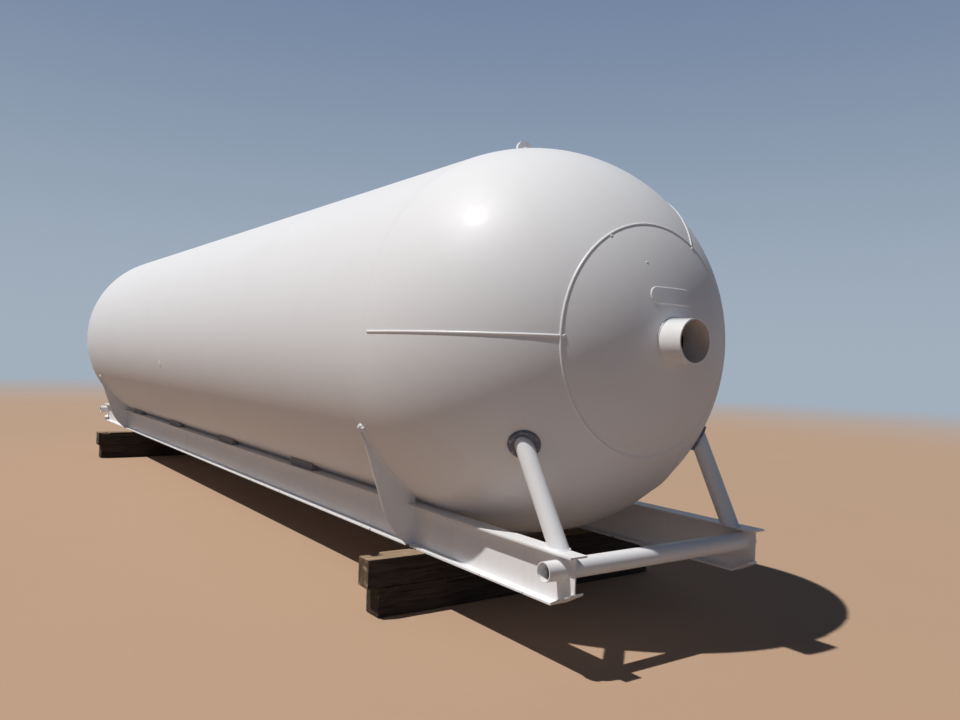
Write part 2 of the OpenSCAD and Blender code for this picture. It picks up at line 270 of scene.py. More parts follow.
def bead_arc(start, centre, axis, turn, radius=FILLET_R, flat=1.0, pitch=RIPPLE):
    """Bead swept from start about an axis; flat below 1 presses it towards the plate."""
    arm = start - centre
    arm -= axis * arm.dot(axis)
    way = axis.cross(arm).normalized()
    deselect()
    bpy.ops.mesh.primitive_circle_add(vertices=BEAD_SIDES, radius=radius)
    bead = bpy.context.object
    bead.scale = (flat, 1, 1)
    bead.location = start
    bead.rotation_euler = turn_to(way, arm)
    placed()
    steps = max(2, 2 * ceil(abs(turn) * arm.length / pitch))
    whole = abs(abs(turn) - tau) < 1e-6
    edit(bead)
    bpy.ops.mesh.select_all(action="SELECT")
    bpy.ops.mesh.spin(steps=steps, angle=-turn, center=centre, axis=axis)
    bpy.ops.mesh.select_all(action="SELECT")
    if whole:
        bpy.ops.mesh.remove_doubles(threshold=1e-5)
    else:
        bpy.ops.mesh.fill_holes(sides=0)
    bpy.ops.mesh.normals_make_consistent(inside=False)
    if flat == 1.0:
        ripple(bead, lambda number, vert: (number // BEAD_SIDES) % 2 == 1)
    bpy.ops.object.mode_set(mode="OBJECT")
    return bead


def bead_line(start, end, radius=FILLET_R, pitch=RIPPLE):
    """Straight bead between two points, with ripples along it."""
    run = end - start
    deselect()
    bpy.ops.mesh.primitive_cylinder_add(vertices=BEAD_SIDES, radius=radius, depth=run.length,
                                        location=(start + end) / 2, rotation=turn_to(run))
    bead = placed()
    cuts = 2 * ceil(run.length / pitch) - 1
    step = run.length / (cuts + 1)
    pick(bead, "edges", lambda number, edge: along_run(bead, edge, run))
    bpy.ops.mesh.subdivide(number_cuts=cuts)
    ripple(bead, lambda number, vert: round((vert.co - start).dot(run.normalized()) / step) % 2 == 1)
    return bead


def along_run(bead, edge, run):
    """Whether an edge of the mesh runs the same way as a line."""
    first, second = (bead.data.vertices[number].co for number in edge.vertices)
    return abs((second - first).normalized().dot(run.normalized())) > 0.9


def bead_ellipse(centre, normal, way, radius):
    """Bead round a pipe that runs along way and meets a plane with that normal."""
    lean = way.normalized()
    flat_way = lean - normal * lean.dot(normal)
    stretch = 1 / abs(lean.dot(normal))
    if flat_way.length < 1e-4:
        flat_way = normal.orthogonal()
    deselect()
    bpy.ops.mesh.primitive_torus_add(major_segments=144, minor_segments=BEAD_SIDES,
                                     major_radius=radius, minor_radius=FILLET_R)
    bead = bpy.context.object
    ripple(bead, lambda number, vert: (number // BEAD_SIDES) % 2 == 1)
    bead.scale = (stretch, 1, 1)
    bead.location = centre
    bead.rotation_euler = turn_to(normal, flat_way)
    return placed()


def shell_arc(x, first, last, radius):
    """Bead round the shell at x, between two angles from straight down towards the left side."""
    centre = Vector((x, 0, AXIS_Z))
    return bead_arc(centre + out_way(first) * SHELL_R, centre, -X, last - first, radius)


def out_way(angle):
    """Direction from the tank's axis at an angle from straight down towards the left side."""
    return -Y * sin(angle) - Z * cos(angle)


def nub(place, normal, radius, height=0.75):
    """Lump where a bead ends or was patched, pressed a little towards the plate."""
    deselect()
    bpy.ops.mesh.primitive_uv_sphere_add(segments=16, ring_count=10, radius=radius, rotation=turn_to(normal))
    lump = bpy.context.object
    lump.scale = (1, 1, height)
    lump.location = place
    placed()
    pick(lump, "vertices", lambda number, vert: (vert.co - place).dot(normal) > radius * height * 0.6)
    bpy.ops.mesh.vertices_smooth(factor=0.5, repeat=2)
    bpy.ops.object.mode_set(mode="OBJECT")
    return lump


def head_way(end, polar, seam):
    """Direction from a head's centre, by its angle from the tank's axis and the seam's from straight down."""
    ring = Y * sin(seam) - Z * cos(seam)
    return X * (end * cos(polar)) + ring * sin(polar)


def head_welds(end, name):
    """The crown weld of a head and its three meridian welds, each run past the crown weld to a nub."""
    centre = NEAR_CENTRE if end > 0 else FAR_CENTRE
    crown_polar = asin(CROWN_R / SHELL_R)
    depth = SHELL_R - SEAM_SINK
    start = centre + head_way(end, crown_polar, pi) * depth
    parts = [bead_arc(start, centre, X, tau, SEAM_R)]
    first = crown_polar - SEAM_OVERSHOOT / SHELL_R
    last = pi / 2 - SEAM_START / SHELL_R
    for seam in SEAM_ANGLES:
        axis = head_way(end, 0, seam).cross(head_way(end, pi / 2, seam))
        outer = head_way(end, first, seam)
        parts.append(bead_arc(centre + outer * depth, centre, axis, last - first, SEAM_R))
        parts.append(nub(centre + outer * depth, outer, SEAM_R * SEAM_NUB))
        tail = head_way(end, last, seam)
        parts.append(nub(centre + tail * depth, tail, SEAM_R * SEAM_TAIL))
    welds = join(parts, name)
    uneven(welds, name, *SEAM_UNEVEN)
    return welds


# Shader nodes


def put(tree, kind, wires=None, values=None, **settings):
    """Adds a node; wires and values are keyed by the input's name or number."""
    node = tree.nodes.new(kind)
    for key, value in settings.items():
        setattr(node, key, value)
    for key, value in (values or {}).items():
        node.inputs[key].default_value = value
    for key, wire in (wires or {}).items():
        tree.links.new(wire, node.inputs[key])
    return node


def math(tree, operation, first, second=0.0, third=0.0):
    node = put(tree, "ShaderNodeMath", operation=operation)
    for number, value in enumerate((first, second, third)):
        if isinstance(value, bpy.types.NodeSocket):
            tree.links.new(value, node.inputs[number])
        else:
            node.inputs[number].default_value = value
    return node.outputs[0]


def span(tree, value, low, high, out_low=0.0, out_high=1.0):
    """Maps a value from one range to another, smoothly and clamped."""
    node = put(tree, "ShaderNodeMapRange", {"Value": value}, interpolation_type="SMOOTHSTEP")
    for key, number in (("From Min", low), ("From Max", high), ("To Min", out_low), ("To Max", out_high)):
        node.inputs[key].default_value = number
    return node.outputs["Result"]


def blend(tree, factor, first, second):
    """Mixes two colours, each a socket or a red, green and blue."""
    node = put(tree, "ShaderNodeMix", data_type="RGBA")
    for number, value in ((0, factor), (6, first), (7, second)):
        if isinstance(value, bpy.types.NodeSocket):
            tree.links.new(value, node.inputs[number])
        elif number:
            node.inputs[number].default_value = (*value, 1)
        else:
            node.inputs[number].default_value = value
    return node.outputs[2]


def noise(tree, vector, scale, detail=2.0, rough=0.5):
    settings = {"Scale": scale, "Detail": detail, "Roughness": rough}
    return put(tree, "ShaderNodeTexNoise", {"Vector": vector}, settings).outputs["Fac"]


def band(tree, value, centre, half, soft):
    """One within a distance of a centre, and zero beyond it."""
    away = math(tree, "ABSOLUTE", math(tree, "SUBTRACT", value, centre))
    return span(tree, away, half + soft, half - soft)


def stretched(tree, vector, scale, shift=(0, 0, 0)):
    """A vector scaled and then moved, for patterns that run longer one way."""
    settings = {"Scale": scale, "Location": shift}
    return put(tree, "ShaderNodeMapping", {"Vector": vector}, settings).outputs["Vector"]


def split(tree, vector):
    return put(tree, "ShaderNodeSeparateXYZ", {"Vector": vector}).outputs


def hypotenuse(tree, *sides):
    """Distance that some sides at right angles to each other make."""
    square = 0.0
    for side in sides:
        square = math(tree, "MULTIPLY_ADD", side, side, square)
    return math(tree, "SQRT", square)


def group(name, inputs, outputs):
    """Starts a node group; inputs and outputs are pairs of a name and a kind of socket."""
    tree = bpy.data.node_groups.new(name, "ShaderNodeTree")
    for direction, sockets in (("INPUT", inputs), ("OUTPUT", outputs)):
        for socket, kind in sockets:
            tree.interface.new_socket(socket, in_out=direction, socket_type="NodeSocket" + kind)
    start = tree.nodes.new("NodeGroupInput").outputs
    end = tree.nodes.new("NodeGroupOutput").inputs
    return tree, start, end


def use(tree, grouped, wires=None, values=None):
    return put(tree, "ShaderNodeGroup", wires, values, node_tree=grouped).outputs


def plate_form():
    """Height, in metres, of rolled plate under paint: slow waves, shallow dents and the spray's peel."""
    tree, start, end = group("plate_form", [("Place", "Vector"), ("Waves", "Float"), ("Dents", "Float")],
                             [("Height", "Float")])
    waves = math(tree, "MULTIPLY", noise(tree, start["Place"], 1.7, 2.0, 0.4), start["Waves"])
    dents = math(tree, "MULTIPLY", noise(tree, start["Place"], 9.0, 3.0, 0.5), start["Dents"])
    peel = math(tree, "MULTIPLY", noise(tree, start["Place"], 260.0, 1.0), 0.00002)
    tree.links.new(math(tree, "ADD", math(tree, "ADD", waves, dents), peel), end["Height"])
    return tree


def weather():
    """Thin dust that gathers in patches, and faint streaks that run down."""
    tree, start, end = group("weather", [("Place", "Vector"), ("Colour", "Color"), ("Dirt", "Color"),
                                         ("Amount", "Float")], [("Colour", "Color"), ("Dust", "Float")])
    patches = span(tree, noise(tree, start["Place"], 1.4, 6.0, 0.6), 0.42, 0.75)
    thin = stretched(tree, start["Place"], (9.0, 9.0, 0.7))
    streaks = span(tree, noise(tree, thin, 1.6, 4.0, 0.55), 0.52, 0.8)
    both = math(tree, "ADD", math(tree, "MULTIPLY", patches, 0.5), math(tree, "MULTIPLY", streaks, 0.5))
    dust = math(tree, "MULTIPLY", both, start["Amount"])
    tree.links.new(blend(tree, dust, start["Colour"], start["Dirt"]), end["Colour"])
    tree.links.new(dust, end["Dust"])
    return tree


def chips():
    """Small flaws where the paint is knocked off, kept to where a mask allows them."""
    tree, start, end = group("chips", [("Place", "Vector"), ("Where", "Float"), ("Size", "Float"),
                                       ("Level", "Float")], [("Chip", "Float")])
    grain = put(tree, "ShaderNodeTexNoise", {"Vector": start["Place"], "Scale": start["Size"]},
                {"Detail": 4.0, "Roughness": 0.6}).outputs["Fac"]
    above = math(tree, "SUBTRACT", math(tree, "MULTIPLY", grain, start["Where"]), start["Level"])
    tree.links.new(span(tree, above, 0.0, 0.03), end["Chip"])
    return tree


def rust():
    """Colour of bare steel with thin brown rust in clouds and specks."""
    tree, start, end = group("rust", [("Place", "Vector"), ("Steel", "Color"), ("Rust", "Color")],
                             [("Colour", "Color"), ("Mask", "Float")])
    cloud = span(tree, noise(tree, start["Place"], 7.0, 6.0, 0.65), 0.35, 0.65)
    speck = span(tree, noise(tree, start["Place"], 90.0, 3.0, 0.6), 0.5, 0.7)
    mask = math(tree, "MAXIMUM", cloud, math(tree, "MULTIPLY", speck, 0.6))
    tree.links.new(blend(tree, mask, start["Steel"], start["Rust"]), end["Colour"])
    tree.links.new(mask, end["Mask"])
    return tree


PLATE_FORM = plate_form()
WEATHER = weather()
CHIPS = chips()
RUST = rust()

PAINT = (0.86, 0.86, 0.87)
PLATE_PAINT = (0.80, 0.80, 0.82)
# Lighter white of the paint run: a painted highlight where the run catches the light
RUN_HIGHLIGHT_COLOUR = (0.95, 0.95, 0.95)
# Deep grey of the filler pads and their fillets: painted shade under the shell
FILLER_SHADE_COLOUR = (0.25, 0.24, 0.26)
# Blue-grey of the strut pads and their fillets: painted shade with a painted reflection of the sky
PAD_SHADE_COLOUR = (0.16, 0.175, 0.23)
DUST = (0.45, 0.38, 0.31)

# Bare steel and the rust on it: in general, in the pull pipes and in the nozzle, whose browned steel is
# lifted near white, partly as painted light in the bore
STEEL = ((0.17, 0.16, 0.16), (0.19, 0.095, 0.05))
PIPE_STEEL = ((0.20, 0.185, 0.14), (0.13, 0.10, 0.065))
NOZZLE_STEEL_AND_LIGHT = ((0.86, 0.83, 0.82), (0.80, 0.68, 0.60))

# Wood, from the darkest to the lightest of each kind; the sides' colours are painted shade and the top's are
# painted light, with the grain in both
WOOD_SIDE_SHADE = ((0.026, 0.018, 0.015), (0.072, 0.050, 0.038))
WOOD_TOP_LIGHT = ((0.20, 0.125, 0.07), (0.46, 0.34, 0.23))
WOOD_END = ((0.045, 0.030, 0.019), (0.24, 0.165, 0.095))
WOOD_SCUFF = (0.50, 0.40, 0.28)
WOOD_SHADED = (0.030, 0.022, 0.018)
WOOD_CRACK = (0.012, 0.009, 0.008)


def material(name):
    made = bpy.data.materials.new(name)
    made.use_nodes = True
    tree = made.node_tree
    tree.nodes.clear()
    shader = put(tree, "ShaderNodeBsdfPrincipled")
    put(tree, "ShaderNodeOutputMaterial", {"Surface": shader.outputs["BSDF"]})
    place = put(tree, "ShaderNodeTexCoord").outputs["Object"]
    return made, tree, shader, place


def wire(tree, shader, **sockets):
    """Links sockets to the shader's inputs, which are named with underscores for spaces."""
    for key, socket in sockets.items():
        tree.links.new(socket, shader.inputs[key.replace("_", " ")])


def relief(tree, height):
    """Normal of a surface with that height in metres."""
    settings = {"Distance": 1.0, "Strength": 1.0}
    return put(tree, "ShaderNodeBump", {"Height": height}, settings).outputs["Normal"]


def surface(tree, shader, colour, rough, height):
    wire(tree, shader, Base_Color=colour, Roughness=rough, Normal=relief(tree, height))


def gloss(shader, specular, coat=0.0, coat_rough=0.03):
    """Sets how strongly the surface shines, and the clear coat over it."""
    shader.inputs["Specular IOR Level"].default_value = specular
    shader.inputs["Coat Weight"].default_value = coat
    shader.inputs["Coat Roughness"].default_value = coat_rough


def dusty(tree, place, base, dirt):
    """Paint with dust on it: its colour, and how much dust lies on it."""
    colours = {"Colour": (*base, 1), "Dirt": (*DUST, 1), "Amount": dirt}
    return use(tree, WEATHER, {"Place": place}, colours)


def bare_steel(tree, place, colours):
    """Bare steel with rust on it: its colour, and how much rust lies on it."""
    steel, rusty = colours
    return use(tree, RUST, {"Place": place}, {"Steel": (*steel, 1), "Rust": (*rusty, 1)})


def plate_height(tree, place, waves, dents):
    return use(tree, PLATE_FORM, {"Place": place}, {"Waves": waves, "Dents": dents})["Height"]


# How deep under the vessel's outside the paint stops
PAINT_DEPTH = 0.004


def painted(name, base, waves, dents, dirt, roughness, coat):
    """White paint over steel plate; inside the vessel the same plates are bare."""
    made, tree, shader, place = material(name)
    parts = split(tree, place)
    past_near = math(tree, "MAXIMUM", math(tree, "SUBTRACT", parts["X"], NEAR_X), 0.0)
    past_far = math(tree, "MINIMUM", math(tree, "SUBTRACT", parts["X"], FAR_X), 0.0)
    beyond = math(tree, "ADD", past_near, past_far)
    up = math(tree, "SUBTRACT", parts["Z"], AXIS_Z)
    out = hypotenuse(tree, parts["Y"], up, beyond)
    inside = math(tree, "LESS_THAN", out, SHELL_R - PAINT_DEPTH)
    worn = dusty(tree, place, base, dirt)
    colour = blend(tree, inside, worn["Colour"], bare_steel(tree, place, STEEL)["Colour"])
    rough = math(tree, "MULTIPLY_ADD", worn["Dust"], 0.5, roughness)
    rough = math(tree, "MULTIPLY_ADD", inside, 0.4, rough)
    surface(tree, shader, colour, rough, plate_height(tree, place, waves, dents))
    wire(tree, shader, Coat_Weight=math(tree, "MULTIPLY", math(tree, "SUBTRACT", 1.0, inside), coat))
    gloss(shader, 0.3, coat_rough=0.2)
    return made


# Knocks in the left rail's lower edge: place along the rail, half their length, and how far they show
EDGE_KNOCKS = [(NEAR_X - 0.820, 0.010, 0.012), (NEAR_X - 0.245, 0.026, 0.012), (NEAR_X - 3.31, 0.007, 0.006)]


def skid_paint():
    """The same white on the beams, dusty and chipped to steel along the flanges' edges."""
    made, tree, shader, place = material("skid_white")
    parts = split(tree, place)
    half = FLANGE_W / 2
    from_web = math(tree, "ABSOLUTE", math(tree, "SUBTRACT", math(tree, "ABSOLUTE", parts["Y"]), WEB_Y))
    inner = span(tree, from_web, half - 0.006, half - 0.002)
    edge = math(tree, "MULTIPLY", inner, span(tree, from_web, half + 0.003, half + 0.001))
    low = span(tree, parts["Z"], RAIL_TOP_Z + 0.03, RAIL_TOP_Z - 0.01)
    where = math(tree, "MULTIPLY", edge, low)
    chip = use(tree, CHIPS, {"Place": place, "Where": where}, {"Size": 26.0, "Level": 0.635})["Chip"]
    outer = span(tree, parts["Y"], -WEB_Y - half + 0.008, -WEB_Y - half + 0.004)
    for knock_x, half_length, height in EDGE_KNOCKS:
        knock = band(tree, parts["X"], knock_x, half_length, 0.003)
        knock = math(tree, "MULTIPLY", knock, band(tree, parts["Z"], RAIL_LOW_Z, height, 0.001))
        chip = math(tree, "MAXIMUM", chip, math(tree, "MULTIPLY", knock, outer))
    worn = dusty(tree, place, PAINT, 0.16)
    colour = blend(tree, chip, worn["Colour"], bare_steel(tree, place, STEEL)["Colour"])
    rough = math(tree, "MULTIPLY_ADD", math(tree, "MAXIMUM", chip, worn["Dust"]), 0.35, 0.38)
    height = math(tree, "MULTIPLY_ADD", chip, -0.0003, plate_height(tree, place, 0.0008, 0.0004))
    surface(tree, shader, colour, rough, height)
    gloss(shader, 0.35, 0.15, 0.2)
    return made


# How far the white reaches into the pull pipes' bores
OVERSPRAY = 0.085


def pipe_paint():
    """White outside the pull pipes and a little way in; past that the bores are dull olive brown."""
    made, tree, shader, place = material("pipe_white")
    parts = split(tree, place)
    past = math(tree, "ABSOLUTE", math(tree, "SUBTRACT", parts["X"], MIDDLE_X))
    past = math(tree, "SUBTRACT", past, PULL_X - MIDDLE_X)
    up = math(tree, "SUBTRACT", parts["Z"], PULL_Z)
    ragged = math(tree, "MULTIPLY_ADD", noise(tree, place, 80.0, 3.0), 0.002, hypotenuse(tree, past, up))
    bore_r = PIPE_R - PIPE_WALL
    bore = span(tree, ragged, bore_r + 0.0025, bore_r + 0.0015)
    from_left = math(tree, "SUBTRACT", parts["Y"], pull_low.y)
    from_right = math(tree, "SUBTRACT", pull_high.y, parts["Y"])
    from_end = math(tree, "MINIMUM", from_left, from_right)
    from_end = math(tree, "MULTIPLY_ADD", noise(tree, place, 30.0, 3.0), 0.05, from_end)
    bore = math(tree, "MULTIPLY", bore, span(tree, from_end, OVERSPRAY - 0.01, OVERSPRAY + 0.02))
    worn = dusty(tree, place, PAINT, 0.12)
    colour = blend(tree, bore, worn["Colour"], bare_steel(tree, place, PIPE_STEEL)["Colour"])
    rough = math(tree, "MULTIPLY_ADD", bore, 0.35, 0.36)
    surface(tree, shader, colour, rough, plate_height(tree, place, 0.0003, 0.0003))
    gloss(shader, 0.35, 0.15, 0.2)
    return made


def pad_shade_paint():
    """Blue-grey on the strut pads, painted shade with a painted reflection of the sky, and overspray of the
    white.
    """
    made, tree, shader, place = material("pad_painted_shade")
    overspray = span(tree, noise(tree, place, 30.0, 4.0, 0.6), 0.5, 0.75, 0.0, 0.4)
    colour = blend(tree, overspray, PAD_SHADE_COLOUR, PAINT)
    rough = span(tree, overspray, 0.0, 0.4, 0.42, 0.55)
    surface(tree, shader, colour, rough, plate_height(tree, place, 0.0003, 0.0006))
    gloss(shader, 0.35)
    return made


def nozzle_paint():
    """White outside; the bore and the cut end are bare, browned steel, its colour lifted near white, partly
    as painted light.
    """
    made, tree, shader, place = material("nozzle_white")
    parts = split(tree, place)
    up = math(tree, "SUBTRACT", parts["Z"], AXIS_Z)
    out = hypotenuse(tree, parts["Y"], up)
    ragged = math(tree, "MULTIPLY_ADD", noise(tree, place, 60.0, 3.0), 0.004, out)
    bore = math(tree, "SUBTRACT", 1.0, span(tree, ragged, NOZZLE_R - 0.0055, NOZZLE_R - 0.0035))
    worn = dusty(tree, place, PAINT, 0.12)
    bare = bare_steel(tree, place, NOZZLE_STEEL_AND_LIGHT)
    colour = blend(tree, bore, worn["Colour"], bare["Colour"])
    rough = math(tree, "MULTIPLY_ADD", bore, 0.35, 0.25)
    scale = math(tree, "MULTIPLY", bare["Mask"], bore)
    height = math(tree, "MULTIPLY_ADD", scale, 0.0003, plate_height(tree, place, 0.0003, 0.0003))
    surface(tree, shader, colour, rough, height)
    gloss(shader, 0.5, 1.0, 0.15)
    return made


def weld_paint():
    """White paint over a weld bead, with dust in its ripples."""
    made, tree, shader, place = material("weld_white")
    speck = span(tree, noise(tree, place, 120.0, 3.0, 0.6), 0.55, 0.8, 0.0, 0.14)
    colour = blend(tree, speck, PAINT, DUST)
    rough = span(tree, speck, 0.0, 0.2, 0.32, 0.5)
    surface(tree, shader, colour, rough, math(tree, "MULTIPLY", noise(tree, place, 300.0, 2.0), 0.0002))
    gloss(shader, 0.35, 0.15)
    return made


def timber_wood(name, seed, end_lit_share):
    """Rough-sawn timber: deep brown faces of painted shade, a light brown top of painted light, and ringed
    ends with painted shade where their lit share is low.
    """
    made, tree, shader, place = material(name)
    along = stretched(tree, place, (1.0, 0.06, 1.0), (seed, seed * 2.3, seed * 0.7))
    fibre = noise(tree, along, 55.0, 8.0, 0.65)
    bands = noise(tree, along, 11.0, 4.0, 0.6)
    normal = split(tree, put(tree, "ShaderNodeNewGeometry").outputs["Normal"])
    # Painted light and shade: faces turned up get the light brown, the side faces the deep brown
    top = span(tree, math(tree, "MULTIPLY_ADD", bands, 0.5, normal["Z"]), 0.85, 1.15)
    cut = span(tree, math(tree, "ABSOLUTE", normal["Y"]), 0.7, 0.9)
    shaded_face = blend(tree, span(tree, fibre, 0.3, 0.7), *WOOD_SIDE_SHADE)
    lit_face = blend(tree, span(tree, fibre, 0.32, 0.68), *WOOD_TOP_LIGHT)
    side = blend(tree, math(tree, "MULTIPLY", top, 0.9), shaded_face, lit_face)

    ring_place = stretched(tree, place, (1.0, 0.1, 1.0), (-NEAR_X + seed * 0.11, 0, seed * 0.05))
    rings = put(tree, "ShaderNodeTexWave", {"Vector": ring_place},
                {"Scale": 28.0, "Distortion": 2.0, "Detail": 3.0, "Detail Scale": 1.2},
                wave_type="RINGS", rings_direction="Y").outputs["Fac"]
    patches = noise(tree, place, 24.0, 4.0, 0.65)
    mottle = math(tree, "MULTIPLY_ADD", patches, 0.7, math(tree, "MULTIPLY", rings, 0.3))
    sawn = blend(tree, span(tree, mottle, 0.35, 0.65), *WOOD_END)
    scuff = span(tree, noise(tree, place, 13.0, 4.0, 0.6), 0.56, 0.66, 0.0, 0.9)
    end_wood = blend(tree, scuff, sawn, WOOD_SCUFF)
    # Painted shade blended over the cut ends, as much as each timber is given
    end_wood = blend(tree, 1.0 - end_lit_share, end_wood, WOOD_SHADED)

    crack_place = stretched(tree, place, (1.0, 0.035, 1.0), (seed, 0, seed))
    crack = span(tree, noise(tree, crack_place, 34.0, 3.0), 0.6, 0.7)
    colour = blend(tree, cut, side, end_wood)
    colour = blend(tree, math(tree, "MULTIPLY", crack, 0.7), colour, WOOD_CRACK)
    side_height = math(tree, "MULTIPLY_ADD", fibre, 0.004, math(tree, "MULTIPLY", crack, -0.006))
    end_height = math(tree, "MULTIPLY", math(tree, "ADD", rings, noise(tree, place, 160.0, 3.0)), 0.0012)
    height = put(tree, "ShaderNodeMix", {0: cut, 2: side_height, 3: end_height}).outputs[0]
    wire(tree, shader, Base_Color=colour, Normal=relief(tree, height))
    shader.inputs["Roughness"].default_value = 0.85
    gloss(shader, 0.25)
    return made


TANK_WHITE = painted("tank_white", PAINT,
                     waves=0.0020, dents=0.0006, dirt=0.06, roughness=0.50, coat=0.06)
PLATE_WHITE = painted("plate_white", PLATE_PAINT,
                      waves=0.0004, dents=0.0012, dirt=0.10, roughness=0.40, coat=0.3)
# The paint run: a painted highlight
RUN_PAINTED_HIGHLIGHT = painted("run_painted_highlight", RUN_HIGHLIGHT_COLOUR,
                    waves=0.0004, dents=0.0012, dirt=0.0, roughness=0.40, coat=0.3)
# Filler pads: painted shade, with dust over it
FILLER_PAINTED_SHADE = painted("filler_painted_shade", FILLER_SHADE_COLOUR,
                      waves=0.0003, dents=0.0006, dirt=0.40, roughness=0.60, coat=0.0)
PIPE_WHITE = pipe_paint()
PAD_PAINTED_SHADE = pad_shade_paint()
SKID_WHITE = skid_paint()
NOZZLE_WHITE = nozzle_paint()
WELD_WHITE = weld_paint()

BY_SLOT = {"tank_paint": TANK_WHITE, "skid_paint": SKID_WHITE, "nozzle_paint": NOZZLE_WHITE,
           "plate_paint": PLATE_WHITE}
BY_NODE = {"near_pull_pipe": PIPE_WHITE, "far_pull_pipe": PIPE_WHITE,
           "near_strut_pads": PAD_PAINTED_SHADE, "far_strut_pads": PAD_PAINTED_SHADE,
           "left_filler_pads": FILLER_PAINTED_SHADE, "right_filler_pads": FILLER_PAINTED_SHADE}

for subpart in frame["record"]["subparts"]:
    coating = BY_NODE.get(subpart["node"], BY_SLOT.get(subpart["material_slot"]))
    if coating:
        mesh = frame["nodes"][subpart["node"]].data
        mesh.materials.clear()
        mesh.materials.append(coating)


# Welds on the vessel


for end, name in ((1, "near_head_welds"), (-1, "far_head_welds")):
    finish(head_welds(end, name), WELD_WHITE)

# Round seams between the courses, ground almost flush
FLUSH_R = 0.008
FLUSH_FLAT = 0.08
FLUSH_PITCH = 0.07
seams = []
for number in range(COURSES + 1):
    centre = Vector((NEAR_X - number * COURSE_LEN, 0, AXIS_Z))
    seams.append(bead_arc(centre + Z * SHELL_R, centre, X, tau, FLUSH_R, FLUSH_FLAT, FLUSH_PITCH))
finish(join(seams, "shell_seams"), WELD_WHITE)

nozzle_foot = Vector((NEAR_X + sqrt(SHELL_R ** 2 - NOZZLE_R ** 2), 0, AXIS_Z))
nozzle_weld = bead_ellipse(nozzle_foot, X, X, NOZZLE_R + 2 * FILLET_GAP)
finish(join([nozzle_weld], "nozzle_weld"), WELD_WHITE)

LONG_SEAM_R = 0.008
LONG_SEAM_SINK = 0.0065
LONG_SEAM_ANGLE = radians(14)
LONG_SEAM_PITCH = 0.03
LONG_SEAM_STOP = 0.01


def long_seams():
    """The courses' own seams, ground low, near the bottom and left and right by turns."""
    parts = []
    for number in range(COURSES):
        side = 1 if number % 2 else -1
        place = Vector((0, 0, AXIS_Z)) + out_way(side * LONG_SEAM_ANGLE) * (SHELL_R - LONG_SEAM_SINK)
        first = place + X * (NEAR_X - number * COURSE_LEN - LONG_SEAM_STOP)
        last = place + X * (NEAR_X - (number + 1) * COURSE_LEN + LONG_SEAM_STOP)
        parts.append(bead_line(last, first, LONG_SEAM_R, LONG_SEAM_PITCH))
    return join(parts, "long_seams")


def lug_weld():
    """Fillet round the foot of the lifting lug."""
    reach = asin(lug_high.y / SHELL_R)
    parts = [shell_arc(x, pi - reach, pi + reach, FILLET_R) for x in (lug_low.x, lug_high.x)]
    foot_z = AXIS_Z + sqrt(SHELL_R ** 2 - lug_high.y ** 2)
    for y in (lug_low.y, lug_high.y):
        parts.append(bead_line(Vector((lug_low.x, y, foot_z)), Vector((lug_high.x, y, foot_z))))
    return join(parts, "lifting_lug_weld")


def plate_weld():
    """Fillet round the bare data plate: two long arcs and two round ends."""
    tilt = asin(PLATE_UP / SHELL_R)
    out = X * cos(tilt) + Z * sin(tilt)
    up = Z * cos(tilt) - X * sin(tilt)
    half_h = PLATE_H / 2
    straight = plate_high.y - half_h
    bead_r = FILLET_R * 0.8
    parts = []
    for side in (-1, 1):
        centre = NEAR_CENTRE + up * (side * half_h)
        radius = sqrt(SHELL_R ** 2 - half_h ** 2)
        swing = asin(straight / radius)
        start = centre + (out * cos(swing) - Y * sin(swing)) * radius
        parts.append(bead_arc(start, centre, up, 2 * swing, bead_r))
        end_y = Y * (side * straight)
        end_place = NEAR_CENTRE + end_y + out * sqrt(SHELL_R ** 2 - straight ** 2 - half_h ** 2)
        normal = (end_y + out * sqrt(SHELL_R ** 2 - straight ** 2)).normalized()
        parts.append(bead_arc(end_place - up * (side * half_h), end_place, normal, pi, bead_r))
    return join(parts, "data_plate_weld")


finish(long_seams(), WELD_WHITE)
finish(lug_weld(), WELD_WHITE)
finish(plate_weld(), WELD_WHITE)


# Welds on the skid's four corners


def pad_welds():
    """Fillets round the near left strut's head and round its pad, in the pads' painted shade."""
    lift = STRUT_WAY * (PAD_T / STRUT_WAY.dot(PAD_WAY))
    pad_centre = NEAR_CENTRE + PAD_WAY * sqrt(SHELL_R ** 2 - PAD_R ** 2)
    rim = pad_centre + PAD_WAY.orthogonal().normalized() * (PAD_R + FILLET_GAP)
    parts = [bead_ellipse(STRUT_HEAD + lift, PAD_WAY, STRUT_WAY, PIPE_R + FILLET_GAP),
             bead_arc(rim, pad_centre, PAD_WAY, tau)]
    return join(parts, "near_left_pad_welds")


# Length of the thick weld at a horn's tip, as an angle about the tank's axis
TIP_WELD_ANGLE = 0.070


